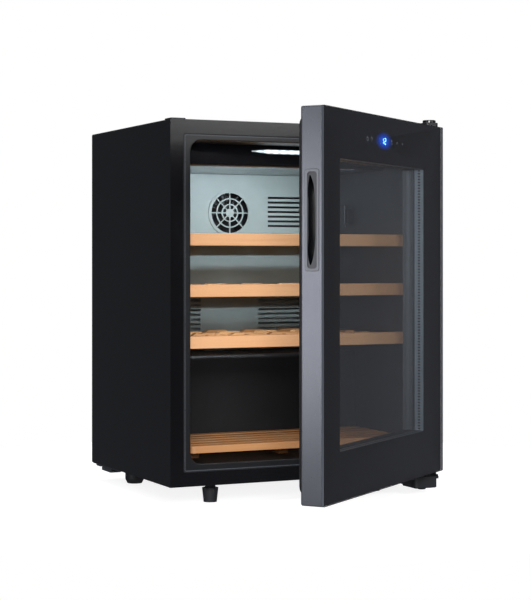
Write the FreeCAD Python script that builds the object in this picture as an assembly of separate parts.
"""Free-standing compressor wine cooler with a glass door, standing on four feet.

Millimetres. X runs to the right as one faces the cooler, Y runs to the back, Z runs up.
The origin is on the floor, under the middle of the cabinet's footprint.
The door is drawn shut and then turned on its pin to the angle it rests at.
"""

import FreeCAD
import Part
import math
import os

Vector = FreeCAD.Vector

# ---- cabinet -------------------------------------------------------------------------
cabinet_width = 495.0
cabinet_depth = 393.0
cabinet_height = 613.0
foot_height = 33.0
sheet = 0.8
front_flange_width = 24.5
corner_foot_low = 10.0
base_rail_height = 24.6
base_rail_depth = 20.0

# ---- cavity and its moulded liner ----------------------------------------------------
liner_wall = 2.0
cavity_side_margin = 36.2
cavity_floor_height = 37.0
cavity_top_height = 579.0
cavity_depth = 340.0
cavity_corner_radius = 20.0
step_depth_from_front = 204.0
step_top_height = 206.0

# ---- machine compartment behind the step ---------------------------------------------
machine_front_depth = 238.0
machine_top_height = 172.0

# ---- shelves -------------------------------------------------------------------------
shelf_heights = (229.0, 315.7, 402.4)
shelf_strip_height = 20.8
shelf_strip_thickness = 18.0
shelf_strip_length = 415.0
shelf_front_depth = 12.0
shelf_back_depth = 308.0
bottle_pitch = 76.0
bottle_row_count = 5
bottle_radius = 39.0

# ---- door, all depths measured forward from the cabinet's front ----------------------
door_width = 493.0
door_bottom_height = 6.2
door_top_height = 612.1
door_front_reach = 48.8
door_glass = 4.0
frit = 0.4
door_back_reach = 8.8
window_left_border = 65.0
window_right_border = 83.0
window_bottom_border = 76.8
window_top_border = 77.1
spacer_depth = 16.0
hinge_inset = 14.0
hinge_reach = 27.4
door_rest_angle = 37.5

# ---- running clearances --------------------------------------------------------------
running_gap = 0.3
seat_gap = 0.3

# ---- edges worked out from the sizes above -------------------------------------------
x_left = -cabinet_width / 2
x_right = cabinet_width / 2
y_front = -cabinet_depth / 2
y_back = cabinet_depth / 2
z_bottom = foot_height
z_top = foot_height + cabinet_height
cavity_half = cabinet_width / 2 - cavity_side_margin
cavity_floor = z_bottom + cavity_floor_height
cavity_top = z_bottom + cavity_top_height
cavity_back = y_front + cavity_depth
step_front = y_front + step_depth_from_front
step_top = z_bottom + step_top_height
machine_front = y_front + machine_front_depth
machine_top = z_bottom + machine_top_height
flange_half = cabinet_width / 2 - front_flange_width
liner_flange_bottom = z_bottom + base_rail_height
liner_flange_top = z_top - front_flange_width

door_left = -door_width / 2
door_right = door_width / 2
door_bottom = z_bottom + door_bottom_height
door_top = z_bottom + door_top_height
door_front = y_front - door_front_reach
door_glass_back = door_front + door_glass
frame_front = door_glass_back + frit
frame_back = y_front - door_back_reach
window_left = door_left + window_left_border
window_right = door_right - window_right_border
window_bottom = door_bottom + window_bottom_border
window_top = door_top - window_top_border
pin_x = x_right - hinge_inset
pin_y = y_front - hinge_reach
frame_wall = 2.5
unit_margin = 12.0
trim_thickness = 2.0

# ---- duct cover on the cavity's back wall, with its fan -------------------------------
cover_front = 118.5
cover_half = 195.0
cover_bottom = step_top + 1.0
lamp_box_bottom = z_bottom + 540.0
lamp_box_front = y_front + 80.0
lamp_box_half = 203.0
fan_z = 500.0
fan_radius = 38.0
fan_hole_radius = 41.0

# ---- handle cup in the door's free edge ----------------------------------------------
handle_bottom = z_bottom + 362.0
handle_top = z_bottom + 515.4
handle_front = y_front - 39.8
handle_back = y_front - 17.2
handle_depth = 26.0
handle_lip = 0.8
handle_rim = 3.2
handle_face_depth = 1.4

# ---- display behind the top of the door glass ----------------------------------------
display_x = door_left - 1.0 + 239.0
display_z = z_bottom + 572.0


def block(x0, x1, y0, y1, z0, z1):
    """A rectangular block between two opposite corners."""
    return Part.makeBox(x1 - x0, y1 - y0, z1 - z0, Vector(x0, y0, z0))


def rod(x, y, z, radius, length, axis):
    """A round rod that starts at a point and runs along an axis."""
    return Part.makeCylinder(radius, length, Vector(x, y, z), axis)


ALONG_X = Vector(1, 0, 0)
ALONG_Y = Vector(0, 1, 0)
ALONG_Z = Vector(0, 0, 1)


def straight_edges(shape, axis):
    """The shape's straight edges that run along one axis."""
    found = []
    for edge in shape.Edges:
        if edge.Curve.TypeId != "Part::GeomLine":
            continue
        run = edge.Vertexes[1].Point.sub(edge.Vertexes[0].Point)
        run.normalize()
        if abs(run.dot(axis)) > 0.999:
            found.append(edge)
    return found


def round_edges(shape, axis, radius):
    """Round off every straight edge that runs along one axis."""
    return shape.makeFillet(radius, straight_edges(shape, axis))


def soft_block(x0, x1, y0, y1, z0, z1, axis, radius):
    """A block with its four edges along one axis rounded."""
    return round_edges(block(x0, x1, y0, y1, z0, z1), axis, radius)


def ring(outer, inner):
    """What is left of one solid after another has been taken out of it."""
    return outer.cut(inner)


def prism(corners, axis_start, axis_length, axis):
    """A straight prism over a polygon, given in the two directions across its axis."""
    points = []
    for first, second in corners:
        if axis == ALONG_Y:
            points.append(Vector(first, axis_start, second))
        elif axis == ALONG_X:
            points.append(Vector(axis_start, first, second))
        else:
            points.append(Vector(first, second, axis_start))
    points.append(points[0])
    face = Part.Face(Part.makePolygon(points))
    return face.extrude(axis * axis_length)


def hexagon(x, y, z, across_flats, height):
    """An upright hexagonal prism."""
    reach = across_flats / math.sqrt(3)
    corners = []
    for side in range(6):
        angle = math.radians(60 * side)
        corners.append((x + reach * math.cos(angle), y + reach * math.sin(angle)))
    return prism(corners, z, height, ALONG_Z)


def bent_tube(points, bend, radius):
    """A round tube along straight runs, with a smooth bend at each corner."""
    stops = [Vector(*point) for point in points]
    pieces = []
    start = stops[0]
    for index in range(1, len(stops) - 1):
        corner = stops[index]
        back = stops[index - 1].sub(corner)
        back.normalize()
        ahead = stops[index + 1].sub(corner)
        ahead.normalize()
        half_turn = math.acos(max(-1.0, min(1.0, back.dot(ahead)))) / 2
        cut_back = bend / math.tan(half_turn)
        first = corner + back * cut_back
        last = corner + ahead * cut_back
        middle_way = back + ahead
        middle_way.normalize()
        centre = corner + middle_way * (bend / math.sin(half_turn))
        middle = centre - middle_way * bend
        pieces.append(Part.makeLine(start, first))
        pieces.append(Part.Arc(first, middle, last).toShape())
        start = last
    pieces.append(Part.makeLine(start, stops[-1]))
    path = Part.Wire(pieces)
    way = stops[1].sub(stops[0])
    profile = Part.Wire([Part.makeCircle(radius, stops[0], way)])
    return path.makePipeShell([profile], True, False)


def swing_open(shape):
    """A door piece, turned from shut to the angle the door rests at."""
    turned = shape.copy()
    turned.rotate(Vector(pin_x, pin_y, 0), ALONG_Z, door_rest_angle)
    return turned


def cavity_space(grow):
    """The cold space, or the same space grown by a wall thickness on every side."""
    low = cavity_floor - grow
    high = cavity_top + grow
    half = cavity_half + grow
    corner = cavity_corner_radius + grow
    whole = soft_block(-half, half, y_front - 1, cavity_back + grow, low, high, ALONG_Y, corner)
    step = block(-half - 1, half + 1, step_front + grow, cavity_back + 10, low - 1, step_top - grow)
    step = step.makeFillet(8.0, [edge for edge in straight_edges(step, ALONG_X)
                                 if edge.CenterOfMass.z > step_top - grow - 1
                                 and edge.CenterOfMass.y < step_front + grow + 1])
    return whole.cut(step)


def wrapper_space():
    """The space inside the folded steel wrapper."""
    space = block(x_left + sheet, x_right - sheet, y_front + sheet, y_back + 1, z_bottom - 1, z_top - sheet)
    upper = [edge for edge in straight_edges(space, ALONG_Y) if edge.CenterOfMass.z > z_bottom + 10]
    return space.makeFillet(2.2, upper)


def outer_shell():
    """One steel sheet folded over both sides and the top, with a flange turned in at the front."""
    whole = block(x_left, x_right, y_front, y_back, z_bottom, z_top)
    upper = [edge for edge in straight_edges(whole, ALONG_Y) if edge.CenterOfMass.z > z_bottom + 10]
    whole = whole.makeFillet(3.0, upper)
    shell = whole.cut(wrapper_space())
    mouth = block(-flange_half, flange_half, y_front - 1, y_front + 2, z_bottom - 1, liner_flange_top)
    return shell.cut(mouth)


def back_panel():
    """The flat steel sheet that closes the back above the machine compartment."""
    panel = block(x_left + sheet, x_right - sheet, y_back - sheet, y_back, machine_top, z_top - sheet)
    upper = [edge for edge in straight_edges(panel, ALONG_Y) if edge.CenterOfMass.z > z_top - 10]
    return panel.makeFillet(2.2, upper)


def machine_bulkhead():
    """The folded sheet that makes the front wall and the ceiling of the machine compartment."""
    left = x_left + sheet
    right = x_right - sheet
    wall = block(left, right, machine_front, machine_front + sheet, z_bottom + sheet, machine_top)
    ceiling = block(left, right, machine_front, y_back - sheet, machine_top - sheet, machine_top)
    return wall.fuse(ceiling).removeSplitter()


def bottom_plate():
    """The steel sheet under the insulated part of the cabinet."""
    back = machine_front + sheet
    front = y_front + base_rail_depth
    return block(x_left + sheet, x_right - sheet, front, back, z_bottom, z_bottom + sheet)


def base_rail():
    """The channel along the bottom of the front, between the wrapper's two flanges."""
    wall = 1.2
    high = z_bottom + base_rail_height
    whole = block(-flange_half, flange_half, y_front, y_front + base_rail_depth, z_bottom, high)
    hollow = block(-flange_half - 1, flange_half + 1, y_front + wall, y_front + base_rail_depth + 1,
                   z_bottom + wall, high - wall)
    return whole.cut(hollow)


def inner_liner():
    """The moulded black tub that lines the cold space, with a flange around its mouth."""
    outside = cavity_space(liner_wall)
    ahead = block(x_left, x_right, y_front - 2, y_front, z_bottom, z_top)
    outside = outside.cut(ahead)
    flange = block(-flange_half, flange_half, y_front, y_front + liner_wall, liner_flange_bottom,
                   liner_flange_top)
    tub = outside.fuse(flange).removeSplitter().cut(cavity_space(0.0))
    lip = []
    for edge in tub.Edges:
        box = edge.BoundBox
        if abs(box.YMin - y_front) > 0.01 or abs(box.YMax - y_front) > 0.01:
            continue
        if max(abs(box.XMin), abs(box.XMax)) < cavity_half + 0.1:
            if box.ZMin > cavity_floor - 0.1 and box.ZMax < cavity_top + 0.1:
                lip.append(edge)
    return tub.makeFillet(1.6, lip)


def insulation_foam():
    """The rigid foam poured between wrapper and liner; it stiffens the whole cabinet."""
    foam = wrapper_space()
    foam = foam.cut(block(x_left, x_right, y_back - sheet, y_back + 2, 0, z_top + 1))
    foam = foam.cut(block(x_left, x_right, y_front, y_back, z_bottom - 2, z_bottom + sheet))
    foam = foam.cut(block(x_left, x_right, machine_front, y_back + 2, 0, machine_top))
    foam = foam.cut(cavity_space(liner_wall))
    foam = foam.cut(block(-flange_half, flange_half, y_front - 1, y_front + liner_wall, liner_flange_bottom,
                          liner_flange_top))
    foam = foam.cut(block(-flange_half, flange_half, y_front - 1, y_front + base_rail_depth, z_bottom - 1,
                          liner_flange_bottom))
    return foam


def condenser_coil():
    """The hot tube of the refrigerant circuit, laid in loops on the inside of the back panel."""
    radius = 2.4
    spread = 205.0
    rows = 11
    rise = 36.0
    lowest = machine_top + 30.0
    depth = y_back - sheet - radius - 0.2
    points = []
    for row in range(rows):
        height = lowest + rise * row
        ends = (-spread, spread) if row % 2 == 0 else (spread, -spread)
        points.append((ends[0], depth, height))
        points.append((ends[1], depth, height))
    return bent_tube(points, 10.0, radius)


def compressor_tray():
    """The pressed steel pan that carries the compressor below the cabinet's floor line."""
    plate = 1.5
    half = 165.0
    low = z_bottom - 14.0
    pan = soft_block(-half, half, machine_front + 6, y_back - 4, low, z_bottom, ALONG_Z, 6.0)
    hollow = soft_block(-half + plate, half - plate, machine_front + 6 + plate, y_back - 4 - plate,
                        low + plate, z_bottom + 1, ALONG_Z, 4.5)
    wings = block(x_left + 1, x_right - 1, machine_front + 6, y_back - 4, z_bottom - plate, z_bottom)
    tray = pan.fuse(wings)
    hem = block(-240.0, 240.0, y_back - 4 - plate, y_back - 4, z_bottom - 6.5, z_bottom)
    hem_foot = block(-240.0, 240.0, y_back - 25.0, y_back - 4, z_bottom - 6.5, z_bottom - 6.5 + plate)
    tray = tray.fuse(hem).fuse(hem_foot)
    for side in (-1, 1):
        outer = side * 233.5
        wall = sorted((outer, outer - side * plate))
        foot = sorted((outer, outer - side * 20.0))
        tray = tray.fuse(block(wall[0], wall[1], y_back - 64.0, y_back - 16.0, low, z_bottom))
        tray = tray.fuse(block(foot[0], foot[1], y_back - 64.0, y_back - 16.0, low, low + plate))
    return tray.removeSplitter().cut(hollow)


tray_floor = z_bottom - 14.0 + 1.5
compressor_x = -20.0
compressor_y = 118.0
compressor_low = tray_floor + 14.0


def compressor_shell():
    """The welded steel pot of the hermetic compressor, an upright capsule with a seam at half height."""
    radius = 58.0
    half = 66.0
    dome = 34.0
    seam = 2.5
    middle = compressor_low + half
    shoulder_x = radius - dome + dome * math.sin(math.pi / 4)
    shoulder_z = half - dome + dome * math.cos(math.pi / 4)
    outline = Part.Wire([
        Part.makeLine(Vector(0, 0, -half), Vector(radius - dome, 0, -half)),
        Part.Arc(Vector(radius - dome, 0, -half),
                 Vector(shoulder_x, 0, -shoulder_z),
                 Vector(radius, 0, -half + dome)).toShape(),
        Part.makeLine(Vector(radius, 0, -half + dome), Vector(radius, 0, -3)),
        Part.makeLine(Vector(radius, 0, -3), Vector(radius + seam, 0, -3)),
        Part.makeLine(Vector(radius + seam, 0, -3), Vector(radius + seam, 0, 3)),
        Part.makeLine(Vector(radius + seam, 0, 3), Vector(radius, 0, 3)),
        Part.makeLine(Vector(radius, 0, 3), Vector(radius, 0, half - dome)),
        Part.Arc(Vector(radius, 0, half - dome),
                 Vector(shoulder_x, 0, shoulder_z),
                 Vector(radius - dome, 0, half)).toShape(),
        Part.makeLine(Vector(radius - dome, 0, half), Vector(0, 0, half)),
        Part.makeLine(Vector(0, 0, half), Vector(0, 0, -half)),
    ])
    pot = Part.Face(outline).revolve(Vector(0, 0, 0), ALONG_Z, 360)
    pot.translate(Vector(compressor_x, compressor_y, middle))
    return pot


mount_spread_x = 85.0
mount_spread_y = 50.0


def mount_places():
    """Where the compressor's four rubber mounts stand."""
    return [(compressor_x + side * mount_spread_x, compressor_y + end * mount_spread_y)
            for side in (-1, 1) for end in (-1, 1)]


def compressor_feet():
    """The two bent plates welded under the pot, with a hole at each end for a rubber mount."""
    low = compressor_low - 3.0
    whole = None
    for end in (-1, 1):
        y = compressor_y + end * mount_spread_y
        bar = block(compressor_x - 100, compressor_x + 100, y - 13, y + 13, low, low + 3.0)
        bar = round_edges(bar, ALONG_Z, 8.0)
        whole = bar if whole is None else whole.fuse(bar)
    bridge = block(compressor_x - 24, compressor_x + 24, compressor_y - mount_spread_y,
                   compressor_y + mount_spread_y, low, low + 3.0)
    whole = whole.fuse(bridge).removeSplitter()
    for x, y in mount_places():
        whole = whole.cut(rod(x, y, low - 1, 7.0, 6, ALONG_Z))
    return whole


def compressor_grommets():
    """Four rubber bushes that keep the compressor's shake out of the tray."""
    bushes = []
    low = tray_floor
    plate_low = compressor_low - 3.0
    for x, y in mount_places():
        bush = rod(x, y, low, 11.0, plate_low - low, ALONG_Z)
        bush = bush.fuse(rod(x, y, plate_low, 6.9, 3.0, ALONG_Z))
        bush = bush.fuse(rod(x, y, plate_low + 3.0, 10.0, 4.0, ALONG_Z)).removeSplitter()
        bush = bush.cut(rod(x, y, low - 1, 4.0, 40, ALONG_Z))
        bushes.append(bush)
    return Part.makeCompound(bushes)


def compressor_bolts():
    """The shouldered bolts that hold the rubber bushes down on the tray."""
    bolts = []
    top = compressor_low + 4.0
    for x, y in mount_places():
        bolt = rod(x, y, tray_floor, 3.0, top - tray_floor, ALONG_Z)
        bolt = bolt.fuse(rod(x, y, top, 8.0, 1.5, ALONG_Z))
        bolt = bolt.fuse(hexagon(x, y, top + 1.5, 10.0, 5.0)).removeSplitter()
        bolts.append(bolt)
    return Part.makeCompound(bolts)


def terminal_cover():
    """The plastic cap over the compressor's start relay and its overload switch."""
    x = compressor_x + 58.0 + 3.0
    middle = compressor_low + 74.0
    cap = soft_block(x, x + 34, compressor_y - 28, compressor_y + 28, middle - 25, middle + 30, ALONG_X, 6.0)
    outer_end = [edge for edge in cap.Edges if edge.BoundBox.XMin > x + 33.9]
    return cap.makeFillet(2.0, outer_end)


def refrigerant_pipes():
    """The copper pipes that join the compressor to the dryer and to the cold and hot tubes."""
    top = compressor_low + 132.0
    radius = 3.2
    suction = bent_tube([(compressor_x - 62, compressor_y - 20, compressor_low + 90),
                         (compressor_x - 92, compressor_y - 20, compressor_low + 90),
                         (compressor_x - 92, compressor_y - 20, compressor_low + 118),
                         (compressor_x - 140, compressor_y - 20, compressor_low + 118),
                         (compressor_x - 140, compressor_y - 20, machine_top - 1.0)], 9.0, radius)
    process = bent_tube([(compressor_x - 62, compressor_y + 14, compressor_low + 84),
                         (compressor_x - 84, compressor_y + 14, compressor_low + 84),
                         (compressor_x - 84, compressor_y + 14, top - 12)], 9.0, radius)
    discharge = bent_tube([(compressor_x - 62, compressor_y + 36, compressor_low + 60),
                           (compressor_x - 112, compressor_y + 36, compressor_low + 60),
                           (compressor_x - 112, compressor_y + 36, compressor_low + 20),
                           (compressor_x - 160, compressor_y + 36, compressor_low + 20),
                           (compressor_x - 160, compressor_y + 36, machine_top - 1.0)], 9.0, radius)
    pot = compressor_shell()
    pieces = [suction, process, discharge]
    for across, height in ((-20, 90), (14, 84), (36, 60)):
        start = Vector(compressor_x - 62, compressor_y + across, compressor_low + height)
        stub = Part.makeCylinder(4.6, 30.0, start, ALONG_X).cut(pot)
        pieces.append(sorted(stub.Solids, key=lambda solid: solid.CenterOfMass.x)[0])
    return Part.makeCompound(pieces)


def filter_dryer():
    """The copper canister that dries the refrigerant before the thin tube."""
    x = 196.0
    y = 150.0
    low = z_bottom + 40.0
    body = rod(x, y, low, 9.5, 76.0, ALONG_Z)
    lower = Part.makeCone(3.0, 9.5, 9.0, Vector(x, y, low - 9.0), ALONG_Z)
    upper = Part.makeCone(9.5, 3.0, 9.0, Vector(x, y, low + 76.0), ALONG_Z)
    tail = rod(x, y, low - 25.0, 3.0, 16.0, ALONG_Z)
    head = rod(x, y, low + 85.0, 3.0, machine_top - 1.0 - low - 85.0, ALONG_Z)
    return body.fuse(lower).fuse(upper).fuse(tail).fuse(head).removeSplitter()


def drip_tray():
    """The shallow plastic pan on the compressor's top, where its heat dries off the melt water."""
    low = compressor_low + 132.0 + 0.3
    pan = soft_block(compressor_x - 52, compressor_x + 62, compressor_y - 45, compressor_y + 45, low,
                     low + 13, ALONG_Z, 10.0)
    hollow = soft_block(compressor_x - 50, compressor_x + 60, compressor_y - 43, compressor_y + 43,
                        low + 2, low + 14, ALONG_Z, 8.0)
    return pan.cut(hollow)


def drain_tube():
    """The plastic tube that lets melt water run from the liner's step down to the drip tray."""
    x = compressor_x + 40.0
    y = compressor_y + 8.0
    low = compressor_low + 132.0 + 6.0
    high = step_top - liner_wall
    return rod(x, y, low, 5.5, high - low, ALONG_Z).cut(rod(x, y, low - 1, 4.0, high - low + 2, ALONG_Z))


def control_box():
    """The closed plastic box with the power board, hung on the compartment's front wall."""
    left = 100.0
    low = z_bottom + 45.0
    front = machine_front + sheet
    box = soft_block(left, left + 86, front, front + 34, low, low + 104, ALONG_Y, 5.0)
    lid_edges = [edge for edge in box.Edges if edge.BoundBox.YMin > front + 33.9]
    return box.makeFillet(2.0, lid_edges)


def cord_gland():
    """The blind screw gland on the control box, where a mains lead would be led in."""
    x = 143.0
    y = machine_front + sheet + 34.0
    z = z_bottom + 66.0
    nut = prism([(x + 10 * math.cos(math.radians(60 * k)), z + 10 * math.sin(math.radians(60 * k)))
                 for k in range(6)], y, 7.0, ALONG_Y)
    dome = Part.makeCone(8.5, 6.0, 9.0, Vector(x, y + 7.0, z), ALONG_Y)
    return nut.fuse(dome).removeSplitter()


def front_feet():
    """The two round levelling feet under the cabinet's front."""
    feet = []
    for side in (-1, 1):
        x = side * (cabinet_width / 2 - 89.0)
        y = y_front + 40.0
        foot = Part.makeCone(11.5, 14.0, 22.0, Vector(x, y, 2.0), ALONG_Z)
        foot = foot.fuse(rod(x, y, 0.0, 11.5, 2.0, ALONG_Z))
        foot = foot.fuse(hexagon(x, y, 24.0, 17.0, 5.0)).removeSplitter()
        for rib in range(12):
            angle = math.radians(30 * rib)
            groove = rod(x + 14.6 * math.cos(angle), y + 14.6 * math.sin(angle), 4.0, 1.6, 24.0, ALONG_Z)
            foot = foot.cut(groove)
        feet.append(foot.cut(rod(x, y, 18.0, 4.0, 12.0, ALONG_Z)))
    return Part.makeCompound(feet)


def foot_studs():
    """The threaded studs of the two front feet, and the nuts that lock them under the bottom plate."""
    fixings = []
    for side in (-1, 1):
        x = side * (cabinet_width / 2 - 89.0)
        y = y_front + 40.0
        stud = rod(x, y, 18.0, 4.0, 38.0, ALONG_Z)
        nut = hexagon(x, y, 29.0, 13.0, z_bottom - 29.0)
        fixings.append(stud)
        fixings.append(nut.cut(rod(x, y, 28.0, 4.0, 8.0, ALONG_Z)))
    return Part.makeCompound(fixings)


def rear_feet():
    """The two wider fixed feet under the tray's wings, bevelled where they meet the floor."""
    feet = []
    for side in (-1, 1):
        x = side * (cabinet_width / 2 - 56.0)
        y = y_front + 315.0
        high = z_bottom - 1.5
        foot = Part.makeCone(13.4, 17.5, 8.0, Vector(x, y, 0.0), ALONG_Z)
        foot = foot.fuse(rod(x, y, 8.0, 17.5, high - 8.0, ALONG_Z)).removeSplitter()
        feet.append(foot)
    return Part.makeCompound(feet)


def tray_screws():
    """The screws that hold the compressor tray's wings to the cabinet, as a list."""
    screws = []
    for side in (-1, 1):
        for y in (machine_front + 24.0, y_back - 40.0):
            x = side * 226.0
            low = z_bottom - 1.5
            head = rod(x, y, low - 2.6, 4.5, 2.6, ALONG_Z)
            screws.append(head.fuse(rod(x, y, low, 2.0, 1.5, ALONG_Z)).removeSplitter())
    return screws


def back_screws():
    """The screws around the back panel, as a list."""
    screws = []
    edge = 9.0
    places = []
    for z in (machine_top + 12.0, machine_top + 147.0, machine_top + 292.0, z_top - 12.0):
        places.append((x_left + edge, z))
        places.append((x_right - edge, z))
    for x in (-118.0, 0.0, 118.0):
        places.append((x, z_top - 12.0))
    for x, z in places:
        head = Part.makeCone(3.8, 2.6, 1.8, Vector(x, y_back, z), ALONG_Y)
        shank = rod(x, y_back - 8.0, z, 1.6, 8.0, ALONG_Y)
        screws.append(head.fuse(shank).removeSplitter())
    return screws


def top_hinge_outline(grow, low, height):
    """The outline of the top hinge's arm, from the cabinet's corner forward to the pin."""
    left = 188.0 - grow
    right = x_right - 2.0 + grow
    front = pin_y - 13.0 - grow
    back = y_front + 44.0 + grow
    arm_left = pin_x - 13.0 - grow
    corners = [(left, back), (left, y_front + 16.0 - grow), (arm_left, pin_y + 6.0), (arm_left, front),
               (right, front), (right, back)]
    slab = prism(corners, low, height, ALONG_Z)
    return round_edges(slab, ALONG_Z, 5.0)


def hinge_screw_places():
    """Where the top hinge's screws go into the cabinet's top."""
    return [(200.0, y_front + 30.0), (222.0, y_front + 30.0), (238.0, y_front + 14.0)]


def top_hinge_bracket():
    """The steel plate screwed on the cabinet's top, which carries the upper pin."""
    plate = top_hinge_outline(0.0, z_top, 3.0)
    plate = plate.cut(rod(pin_x, pin_y, z_top - 1, 4.0, 6, ALONG_Z))
    for x, y in hinge_screw_places():
        plate = plate.cut(rod(x, y, z_top - 1, 2.2, 6, ALONG_Z))
    return plate


def top_hinge_screws():
    """The three screws under the top hinge's cover, as a list."""
    screws = []
    for x, y in hinge_screw_places():
        head = Part.makeCone(4.4, 3.4, 1.6, Vector(x, y, z_top + 3.0), ALONG_Z)
        screws.append(head.fuse(rod(x, y, z_top - 12.0, 2.2, 15.0, ALONG_Z)).removeSplitter())
    return screws


def cabinet_screws():
    """Every screw of the cabinet's sheet metal, as one group."""
    return Part.makeCompound(tray_screws() + back_screws() + top_hinge_screws())


def top_hinge_cover():
    """The plastic cover that hides the top hinge's plate and its screws."""
    cover = top_hinge_outline(0.0, z_top + 3.0, 4.0)
    top_edges = [edge for edge in cover.Edges if edge.BoundBox.ZMin > z_top + 6.9]
    cover = cover.makeFillet(1.2, top_edges)
    cover = cover.cut(rod(pin_x, pin_y, z_top + 2, 11.8, 8, ALONG_Z))
    for x, y in hinge_screw_places():
        cover = cover.cut(rod(x, y, z_top + 2, 5.0, 3.0, ALONG_Z))
    return cover


def top_hinge_pin():
    """The upper pin with its wide round head."""
    head = rod(pin_x, pin_y, z_top + 3.0, 11.5, 8.8, ALONG_Z)
    rim = [edge for edge in head.Edges if edge.BoundBox.ZMin > z_top + 11.7]
    head = head.makeFillet(1.4, rim)
    low = door_top - 14.0
    pin = rod(pin_x, pin_y, low, 4.0, z_top + 3.0 - low, ALONG_Z)
    return head.fuse(pin).removeSplitter()


def spare_hinge_cap():
    """The thin cap over the spare hinge holes at the other top corner."""
    cap = soft_block(x_left + 2, x_left + 30, y_front + 3, y_front + 34, z_top, z_top + 2.2, ALONG_Z, 5.0)
    rim = [edge for edge in cap.Edges if edge.BoundBox.ZMin > z_top + 2.1]
    return cap.makeFillet(0.9, rim)


def bottom_hinge_bracket():
    """The thick steel plate under the cabinet's corner, with the lower pin riveted in it."""
    low = z_bottom - 3.0
    corners = [(186.0, y_front + 62.0), (186.0, y_front + 22.0), (pin_x - 14.0, y_front - 6.0),
               (pin_x - 14.0, pin_y - 14.0), (x_right - 1.5, pin_y - 14.0), (x_right - 1.5, y_front + 62.0)]
    plate = round_edges(prism(corners, low, 3.0, ALONG_Z), ALONG_Z, 5.0)
    pin = rod(pin_x, pin_y, low, 4.0, door_bottom + 14.0 - low, ALONG_Z)
    collar = rod(pin_x, pin_y, z_bottom, 12.5, door_bottom - 0.6 - z_bottom, ALONG_Z)
    return plate.fuse(collar).fuse(pin).removeSplitter()


def corner_foot():
    """The plastic block under the lower hinge, with a wide head and a slanted web on its left."""
    high = z_bottom - 3.0
    front = pin_y - 13.0
    post = soft_block(pin_x - 35.0, x_right - 4.5, front, front + 50.0, corner_foot_low, high, ALONG_Z, 5.0)
    lower_rim = [edge for edge in post.Edges if edge.BoundBox.ZMax < corner_foot_low + 0.1]
    post = post.makeFillet(2.0, lower_rim)
    head = soft_block(pin_x - 35.0, x_right - 0.8, front - 1.0, front + 50.0, high - 4.0, high, ALONG_Z, 5.0)
    slope = [(176.0, high), (204.0, high), (204.0, corner_foot_low + 1.5), (180.0, corner_foot_low + 8.0)]
    web = prism(slope, front + 12.0, 34.0, ALONG_Y)
    return post.fuse(head).fuse(web).removeSplitter()


def corner_foot_pad():
    """The small stop screwed up into the corner foot; it meets the floor if the cooler leans forward."""
    x = pin_x - 8.5
    y = pin_y + 11.4
    stop = rod(x, y, corner_foot_low - 4.5, 7.0, 4.5, ALONG_Z)
    return stop


def shelf_side_rail(side, height):
    """One wooden side rail of a shelf."""
    low = z_bottom + height + 3.0
    inner = 187.0
    outer = 204.5
    x0 = inner if side > 0 else -outer
    x1 = outer if side > 0 else -inner
    back = y_front + shelf_back_depth
    front = y_front + shelf_front_depth + shelf_strip_thickness
    return block(x0, x1, front, back, low, low + 12.0)


def shelf_supports():
    """Three pairs of channel guides on the liner's side walls; the shelves slide in them."""
    guides = []
    for height in shelf_heights:
        low = z_bottom + height + 3.0 - running_gap
        high = low + 12.0 + 2 * running_gap
        front = y_front + shelf_front_depth + shelf_strip_thickness + 2.0
        back = cover_front - 1.0
        for side in (-1, 1):
            wall = side * cavity_half
            profile = [(wall, low - 2.0), (wall - side * 22.0, low - 2.0), (wall - side * 22.0, low),
                       (wall - side * 2.0, low), (wall - side * 2.0, high), (wall - side * 10.0, high),
                       (wall - side * 10.0, high + 2.0), (wall, high + 2.0)]
            guides.append(prism(profile, front, back - front, ALONG_Y))
    return Part.makeCompound(guides)


def shelf_strip(height):
    """The beech strip across a shelf's front."""
    low = z_bottom + height
    front = y_front + shelf_front_depth
    half = shelf_strip_length / 2
    strip = block(-half, half, front, front + shelf_strip_thickness, low, low + shelf_strip_height)
    face_edges = [edge for edge in strip.Edges if edge.BoundBox.YMax < front + 0.1]
    return strip.makeFillet(1.5, face_edges)


def scalloped_slat(front, low, half, thickness, height):
    """One cross slat with a shallow round seat for each bottle of the row."""
    slat = block(-half, half, front, front + thickness, low, low + height)
    for place in range(bottle_row_count):
        x = (place - (bottle_row_count - 1) / 2) * bottle_pitch
        seat = rod(x, front - 1, low + height - 6.0 + bottle_radius, bottle_radius, thickness + 2, ALONG_Y)
        slat = slat.cut(seat)
    return slat


def shelf_frame(height):
    """The two side rails of one shelf and the cross slats that the bottles lie on."""
    slats = [shelf_side_rail(-1, height), shelf_side_rail(1, height)]
    first = y_front + shelf_front_depth + shelf_strip_thickness + 16.0
    last = y_front + shelf_back_depth - 22.0
    count = 5
    for row in range(count):
        front = first + (last - first) * row / (count - 1)
        slats.append(scalloped_slat(front, z_bottom + height + 3.0, 187.0, 16.0, 15.0))
    return Part.makeCompound(slats)


deck_low = z_bottom + 53.5
deck_high = z_bottom + 65.5
deck_half = 206.0
deck_front = y_front + 12.0
deck_back = step_front - 6.0


def deck_strip():
    """The rounded wooden strip along the front of the bottom deck."""
    strip = block(-deck_half, deck_half, deck_front, deck_front + 20.0, deck_low, deck_high)
    corners = [edge for edge in straight_edges(strip, ALONG_Z) if edge.CenterOfMass.y < deck_front + 1]
    strip = strip.makeFillet(9.0, corners)
    top_edges = [edge for edge in strip.Edges if edge.BoundBox.ZMin > deck_high - 0.1]
    rim = [edge for edge in top_edges if edge.BoundBox.YMin < deck_front + 12]
    return strip.makeFillet(2.0, rim)


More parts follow.
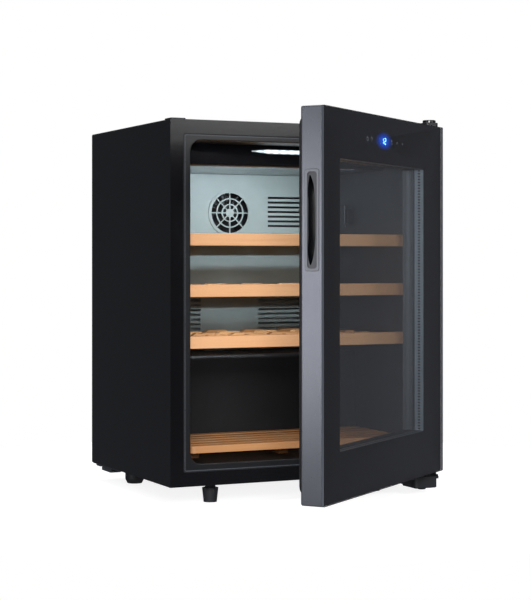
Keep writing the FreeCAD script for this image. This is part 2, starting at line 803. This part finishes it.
def deck_frame():
    """The slats of the bottom deck, laid from side to side on three runners."""
    slats = []
    first = deck_front + 20.0 + 9.0
    wide = 22.0
    count = 5
    last = deck_back - wide
    for row in range(count):
        front = first + (last - first) * row / (count - 1)
        slats.append(block(-deck_half, deck_half, front, front + wide, deck_high - 7.0, deck_high))
    for x in (-180.0, -9.0, 162.0):
        bar = block(x, x + 18.0, deck_front + 20.0, deck_back, deck_low, deck_high - 7.0)
        leg = block(x, x + 18.0, deck_front + 70.0, deck_back, cavity_floor, deck_low)
        slats.append(bar.fuse(leg).removeSplitter())
    return Part.makeCompound(slats)


def lamp_box():
    """The glossy dark box under the cavity's ceiling, which holds the light."""
    low = lamp_box_bottom
    box = block(-lamp_box_half, lamp_box_half, lamp_box_front, cover_front - 0.5, low, cavity_top)
    front_low = [edge for edge in straight_edges(box, ALONG_X)
                 if edge.CenterOfMass.z < low + 1 and edge.CenterOfMass.y < lamp_box_front + 1]
    box = box.makeFillet(7.0, front_low)
    box = box.common(cavity_space(0.0))
    hollow = block(-lamp_box_half + 2, lamp_box_half - 2, lamp_box_front + 2, cover_front - 2.5, low + 2,
                   cavity_top + 1)
    inner_low = [edge for edge in straight_edges(hollow, ALONG_X)
                 if edge.CenterOfMass.z < low + 3 and edge.CenterOfMass.y < lamp_box_front + 3]
    hollow = hollow.makeFillet(5.0, inner_low)
    hollow = hollow.common(cavity_space(-2.0).fuse(block(-150, 150, -100, 100, low + 2, cavity_top + 1)))
    box = box.cut(hollow)
    slot = block(-62, 62, lamp_box_front - 1, lamp_box_front + 3, cavity_top - 17, cavity_top - 7)
    return box.cut(slot)


def lamp_lens():
    """The frosted lens over the light, set flush in the box's front."""
    front = lamp_box_front
    return soft_block(-62, 62, front, front + 2.0, cavity_top - 17, cavity_top - 7, ALONG_X, 0.6)


def lamp_board():
    """The strip of light-emitting diodes behind the lens."""
    front = lamp_box_front + 6.0
    board = block(-58, 58, front, front + 1.6, cavity_top - 17, cavity_top - 7)
    for place in range(8):
        x = -49.0 + 14.0 * place
        board = board.fuse(block(x - 1.8, x + 1.8, front - 1.0, front, cavity_top - 13.8, cavity_top - 10.2))
    return board.removeSplitter()


def duct_cover():
    """The pale plastic panel over the evaporator, with a fan opening and rows of air slots."""
    high = lamp_box_bottom - 0.5
    whole = soft_block(-cover_half, cover_half, cover_front, cavity_back, cover_bottom, high, ALONG_Y, 8.0)
    hollow = soft_block(-cover_half + 2.5, cover_half - 2.5, cover_front + 2.5, cavity_back + 1,
                        cover_bottom + 2.5, high - 2.5, ALONG_Y, 5.5)
    cover = whole.cut(hollow)
    cover = cover.cut(rod(0, cover_front - 1, fan_z, fan_hole_radius, 5, ALONG_Y))
    for side in (-1, 1):
        for row in range(9):
            z = 270.0 + 9.0 * row
            x0 = 60.0 if side > 0 else -150.0
            cover = cover.cut(block(x0, x0 + 90.0, cover_front - 1, cover_front + 4, z, z + 4.0))
        for row in range(7):
            z = 474.0 + 9.0 * row
            x0 = 80.0 if side > 0 else -160.0
            cover = cover.cut(block(x0, x0 + 80.0, cover_front - 1, cover_front + 4, z, z + 4.0))
    return cover


def evaporator():
    """The cold aluminium plate behind the duct cover, with the tube pressed in as raised loops."""
    front = cavity_back - 8.0
    plate = block(-165, 165, front, front + 1.5, cover_bottom + 12, 430.0)
    for row in range(8):
        z = cover_bottom + 30.0 + 22.0 * row
        channel = rod(-150, front, z, 3.0, 300, ALONG_X)
        half = channel.common(block(-151, 151, front - 4, front, z - 4, z + 4))
        plate = plate.fuse(half)
    return plate.removeSplitter()


def fan_grille():
    """The round guard in front of the fan: two hoops and eight spokes."""
    y0 = cover_front - 2.0
    outer = rod(0, y0, fan_z, 44.0, 2.0, ALONG_Y).cut(rod(0, y0 - 1, fan_z, 38.0, 4.0, ALONG_Y))
    for inner_radius in (27.0, 16.0):
        hoop = rod(0, y0, fan_z, inner_radius + 1.2, 2.0, ALONG_Y)
        outer = outer.fuse(hoop.cut(rod(0, y0 - 1, fan_z, inner_radius - 1.2, 4.0, ALONG_Y)))
    hub = rod(0, y0, fan_z, 8.0, 2.0, ALONG_Y)
    outer = outer.fuse(hub)
    for spoke in range(8):
        bar = block(7.0, 39.0, y0, y0 + 2.0, fan_z - 1.0, fan_z + 1.0)
        bar.rotate(Vector(0, 0, fan_z), ALONG_Y, 45 * spoke)
        outer = outer.fuse(bar)
    return outer.removeSplitter()


def fan_motor():
    """The fan's motor on its four-armed holder behind the rotor."""
    y0 = cavity_back - 5.5
    holder = rod(0, y0, fan_z, 14.0, 5.0, ALONG_Y)
    for arm in range(4):
        bar = block(12.0, 52.0, y0 + 2.0, y0 + 5.0, fan_z - 3.5, fan_z + 3.5)
        bar.rotate(Vector(0, 0, fan_z), ALONG_Y, 45 + 90 * arm)
        holder = holder.fuse(bar)
    shaft = rod(0, y0 - 8.0, fan_z, 1.5, 8.0, ALONG_Y)
    return holder.fuse(shaft).removeSplitter()


def fan_rotor():
    """The fan's hub with seven twisted blades."""
    y0 = cover_front + 4.0
    hub = rod(0, y0, fan_z, 11.0, 13.0, ALONG_Y)
    rotor = hub
    for blade in range(7):
        paddle = block(9.0, fan_radius, -0.7, 0.7, -8.0, 8.0)
        paddle.rotate(Vector(0, 0, 0), ALONG_X, 50)
        limit = ring(rod(0, -5.6, 0, fan_radius - 0.5, 11.2, ALONG_Y), rod(0, -7, 0, 9.0, 14, ALONG_Y))
        paddle = paddle.common(limit)
        paddle.rotate(Vector(0, 0, 0), ALONG_Y, 360.0 / 7 * blade)
        paddle.translate(Vector(0, y0 + 6.5, fan_z))
        rotor = rotor.fuse(paddle)
    bore = rod(0, y0 + 4.0, fan_z, 1.55, 10.0, ALONG_Y)
    return rotor.removeSplitter().cut(bore)


def temperature_probe():
    """The small probe that feels the air, clipped on the right wall."""
    wall = cavity_half
    clip = soft_block(wall - 9.0, wall, 20.0, 44.0, 480.0, 508.0, ALONG_X, 3.0)
    return clip.fuse(rod(wall - 10.5, 32.0, 474.0, 3.0, 40.0, ALONG_Z)).removeSplitter()


def door_front_glass():
    """The tempered pane that covers the whole front of the door."""
    pane = block(door_left, door_right, door_front, door_glass_back, door_bottom, door_top)
    pane = round_edges(pane, ALONG_Y, 2.0)
    rim = [edge for edge in pane.Edges if edge.BoundBox.YMax < door_front + 0.1]
    return pane.makeChamfer(0.5, rim)


def door_print():
    """The black enamel fired on the back of the front pane, left clear at window and display."""
    layer = block(door_left + 0.6, door_right - 0.6, door_glass_back, frame_front, door_bottom + 0.6,
                  door_top - 0.6)
    layer = round_edges(layer, ALONG_Y, 1.6)
    window = soft_block(window_left, window_right, door_glass_back - 1, frame_front + 1, window_bottom,
                        window_top, ALONG_Y, 3.0)
    gap = block(display_x - 15, display_x + 15, door_glass_back - 1, frame_front + 1, display_z - 7.5,
                display_z + 7.5)
    return layer.cut(window).cut(gap)


def glass_spacer():
    """The hollow metal bar that holds the two panes apart around the window."""
    wide = 8.0
    back = frame_front + spacer_depth
    outer = soft_block(window_left - wide, window_right + wide, frame_front, back, window_bottom - wide,
                       window_top + wide, ALONG_Y, 4.0)
    inner = soft_block(window_left, window_right, frame_front - 1, back + 1, window_bottom, window_top,
                       ALONG_Y, 3.0)
    return outer.cut(inner)


def door_rear_glass():
    """The second pane, towards the bottles."""
    front = frame_front + spacer_depth
    reach = 10.0
    return block(window_left - reach, window_right + reach, front, front + door_glass, window_bottom - reach,
                 window_top + reach)


def handle_pocket(grow):
    """The outside of the handle cup, grown for a fit."""
    reach = door_left + handle_depth + grow
    pocket = block(door_left - 1, reach, handle_front + 1.5 - grow, handle_back - 1.5 + grow,
                   handle_bottom + 2.0 - grow, handle_top - 2.0 + grow)
    inner = [edge for edge in straight_edges(pocket, ALONG_Y) if edge.CenterOfMass.x > reach - 1]
    return pocket.makeFillet(12.0, inner)


def display_pocket():
    """The room in the door's top rail for the display and the touch board."""
    return block(display_x - 78, display_x + 90, frame_front - 1, frame_front + 12,
                 display_z - 13, display_z + 13)


def bush_pocket(low, high):
    """The room for a hinge bush in the top or bottom of the door."""
    return rod(pin_x, pin_y, low, 8.0, high - low, ALONG_Z)


def door_unit_room():
    """The opening in the door for the double glazing."""
    return block(window_left - unit_margin, window_right + unit_margin, frame_front - 1, frame_back + 1,
                 window_bottom - unit_margin, window_top + unit_margin)


def door_frame():
    """The grey profile around the door: a channel that is open towards the glass."""
    whole = block(door_left, door_right, frame_front, frame_back, door_bottom, door_top)
    whole = round_edges(whole, ALONG_Y, 2.0)
    rim = [edge for edge in whole.Edges if edge.BoundBox.YMin > frame_back - 0.1]
    whole = whole.makeFillet(3.5, rim)
    whole = whole.cut(door_unit_room())
    channel = block(door_left + frame_wall, door_right - frame_wall,
                    frame_front - 1, frame_back - frame_wall,
                    door_bottom + frame_wall, door_top - frame_wall)
    island = unit_margin + frame_wall
    channel = channel.cut(block(window_left - island, window_right + island,
                                frame_front - 2, frame_back + 1,
                                window_bottom - island, window_top + island))
    frame = whole.cut(channel)
    frame = frame.cut(handle_pocket(0.0))
    frame = frame.cut(bush_pocket(door_top - 16.0, door_top + 1))
    return frame.cut(bush_pocket(door_bottom - 1, door_bottom + 16.0))


def door_core():
    """The foam that fills the door frame's channel."""
    core = block(door_left + frame_wall, door_right - frame_wall,
                 frame_front, frame_back - frame_wall,
                 door_bottom + frame_wall, door_top - frame_wall)
    island = unit_margin + frame_wall
    core = core.cut(block(window_left - island, window_right + island,
                          frame_front - 1, frame_back + 1,
                          window_bottom - island, window_top + island))
    core = core.cut(handle_pocket(0.0))
    core = core.cut(display_pocket())
    core = core.cut(bush_pocket(door_top - 16.0, door_top + 1))
    return core.cut(bush_pocket(door_bottom - 1, door_bottom + 16.0))


def door_inner_trim():
    """The black plastic frame on the door's back, which holds the rear pane and the seal."""
    front = frame_front + spacer_depth + door_glass
    back = frame_back + trim_thickness
    sleeve = block(window_left - unit_margin, window_right + unit_margin, front, back,
                   window_bottom - unit_margin, window_top + unit_margin)
    margin = 11.0
    flange = soft_block(door_left + margin, door_right - margin, frame_back, back,
                        door_bottom + margin + 1.8, door_top - margin - 2.5, ALONG_Y, 4.0)
    window = soft_block(window_left, window_right, front - 1, back + 1,
                        window_bottom, window_top, ALONG_Y, 3.0)
    return sleeve.fuse(flange).removeSplitter().cut(window)


def door_gasket():
    """The magnetic rubber seal; it stands a hair clear of the cabinet when the door is shut."""
    front = frame_back + trim_thickness
    back = y_front - seat_gap
    margin = 12.0
    wide = 13.0
    outer = soft_block(door_left + margin, door_right - margin, front, back, door_bottom + margin + 2,
                       door_top - margin - 2.5, ALONG_Y, 5.0)
    inner = block(door_left + margin + wide, door_right - margin - wide, front - 1, back + 1,
                  door_bottom + margin + 2 + wide, door_top - margin - 2.5 - wide)
    seal = outer.cut(inner)
    rim = block(door_left + margin + 1.6, door_right - margin - 1.6, front + 1.6, front + 3.4,
                door_bottom + margin + 3.6, door_top - margin - 4.1)
    lip = block(door_left, door_right, front + 1.6, front + 3.4, door_bottom, door_top).cut(rim)
    return seal.cut(lip)


def finger_grip():
    """The hollow for the fingers. Its mouth is straight at the back and bulges towards the front."""
    middle = (handle_bottom + handle_top) / 2
    outline = [(-7.8, 68.0), (-12.6, 56.0), (-15.7, 32.0), (-16.3, 0.0), (-15.7, -32.0), (-12.6, -56.0),
               (-7.8, -68.0), (-4.9, -60.0), (-4.2, -30.0), (-4.2, 0.0), (-4.2, 30.0), (-4.9, 60.0)]
    points = [Vector(door_left - 1, handle_back + across, middle + up) for across, up in outline]
    mouth = Part.BSplineCurve()
    mouth.interpolate(Points=points, PeriodicFlag=True)
    face = Part.Face(Part.Wire([mouth.toShape()]))
    return face.extrude(Vector(handle_depth - 1.0, 0, 0))


def handle_cup():
    """The cup in the door's free edge: a slim raised rim, a face set back in it and the finger grip."""
    cup = handle_pocket(0.0).common(block(door_left, 0, frame_front, frame_back, door_bottom, door_top))
    x0 = door_left - handle_lip
    rim = soft_block(x0, door_left, handle_front, handle_back, handle_bottom, handle_top, ALONG_X, 4.0)
    set_back = soft_block(x0 - 1, door_left + handle_face_depth, handle_front + handle_rim,
                          handle_back - handle_rim, handle_bottom + handle_rim,
                          handle_top - handle_rim, ALONG_X, 5.0)
    return cup.fuse(rim).removeSplitter().cut(set_back).cut(finger_grip())


def display_board():
    """The circuit board with the numeric display and, beside it, the touch pads."""
    front = frame_front + 5.4
    display = block(display_x - 14.5, display_x + 14.5, frame_front + 0.2, front,
                    display_z - 7.0, display_z + 7.0)
    board = block(display_x - 76, display_x + 88, front, front + 1.6, display_z - 11.5, display_z + 11.5)
    for x in (-67.0, -51.0, 32.0, 54.0, 77.0):
        board = board.fuse(rod(display_x + x, front - 5.2, display_z, 4.5, 5.2, ALONG_Y))
    return board.fuse(display).removeSplitter()


def hinge_bushes():
    """The two plastic bushes in the door that turn on the pins."""
    bushes = []
    for low, high, bore_low in ((door_top - 16.0, door_top, door_top - 15.0),
                                (door_bottom, door_bottom + 16.0, door_bottom - 1.0)):
        bush = rod(pin_x, pin_y, low, 8.0, high - low, ALONG_Z)
        bushes.append(bush.cut(rod(pin_x, pin_y, bore_low, 4.05, 16.0, ALONG_Z)))
    return Part.makeCompound(bushes)


def build():
    """Every piece of the cooler, by name, where it stands at rest."""
    shapes = {}
    liner = inner_liner()
    drain = drain_tube()
    coil = condenser_coil()
    studs = foot_studs()
    rear_screws = Part.makeCompound(back_screws())
    hinge_fixings = Part.makeCompound(top_hinge_screws())
    tray_fixings = Part.makeCompound(tray_screws())
    foam = insulation_foam()
    shell = outer_shell().cut(hinge_fixings)
    drain_hole = rod(compressor_x + 40.0, compressor_y + 8.0, machine_top - 10, 5.5, 72, ALONG_Z)
    bulkhead = machine_bulkhead().cut(drain_hole)
    for guest in (drain, coil, studs, rear_screws, hinge_fixings):
        foam = foam.cut(guest)
    foam = foam.cut(drain_hole)
    shapes["outer_shell"] = shell
    shapes["back_panel"] = back_panel().cut(rear_screws)
    shapes["machine_bulkhead"] = bulkhead
    shapes["bottom_plate"] = bottom_plate().cut(studs)
    shapes["base_rail"] = base_rail()
    shapes["inner_liner"] = liner
    shapes["insulation_foam"] = foam
    shapes["condenser_coil"] = coil
    shapes["compressor_tray"] = compressor_tray().cut(tray_fixings)
    shapes["cabinet_screws"] = cabinet_screws()
    shapes["compressor_shell"] = compressor_shell()
    shapes["compressor_feet"] = compressor_feet()
    shapes["compressor_grommets"] = compressor_grommets()
    shapes["compressor_bolts"] = compressor_bolts()
    shapes["terminal_cover"] = terminal_cover()
    shapes["refrigerant_pipes"] = refrigerant_pipes()
    shapes["filter_dryer"] = filter_dryer()
    shapes["drip_tray"] = drip_tray()
    shapes["drain_tube"] = drain
    shapes["control_box"] = control_box()
    shapes["cord_gland"] = cord_gland()
    shapes["front_feet"] = front_feet()
    shapes["foot_studs"] = studs
    shapes["rear_feet"] = rear_feet()
    shapes["top_hinge_bracket"] = top_hinge_bracket()
    shapes["top_hinge_cover"] = top_hinge_cover()
    shapes["top_hinge_pin"] = top_hinge_pin()
    shapes["spare_hinge_cap"] = spare_hinge_cap()
    shapes["bottom_hinge_bracket"] = bottom_hinge_bracket()
    shapes["corner_foot"] = corner_foot()
    shapes["corner_foot_pad"] = corner_foot_pad()
    shapes["shelf_supports"] = shelf_supports()
    for number, height in enumerate(shelf_heights, start=1):
        shapes["shelf_%d_strip" % number] = shelf_strip(height)
        shapes["shelf_%d_frame" % number] = shelf_frame(height)
    shapes["deck_strip"] = deck_strip()
    shapes["deck_frame"] = deck_frame()
    shapes["lamp_box"] = lamp_box()
    shapes["lamp_lens"] = lamp_lens()
    shapes["lamp_board"] = lamp_board()
    shapes["duct_cover"] = duct_cover()
    shapes["evaporator"] = evaporator()
    shapes["fan_grille"] = fan_grille()
    shapes["fan_motor"] = fan_motor()
    shapes["fan_rotor"] = fan_rotor()
    shapes["temperature_probe"] = temperature_probe()
    door_pieces = {
        "door_front_glass": door_front_glass(),
        "door_print": door_print(),
        "glass_spacer": glass_spacer(),
        "door_rear_glass": door_rear_glass(),
        "door_frame": door_frame(),
        "door_core": door_core(),
        "door_inner_trim": door_inner_trim(),
        "door_gasket": door_gasket(),
        "handle_cup": handle_cup(),
        "display_board": display_board(),
        "hinge_bushes": hinge_bushes(),
    }
    for name, shape in door_pieces.items():
        shapes[name] = swing_open(shape)
    return shapes


os.makedirs("parts", exist_ok=True)
for name, shape in build().items():
    shape.exportStep(os.path.join("parts", name + ".step"))
    print(name, len(shape.Solids), shape.isValid(), round(shape.Volume / 1000, 1))
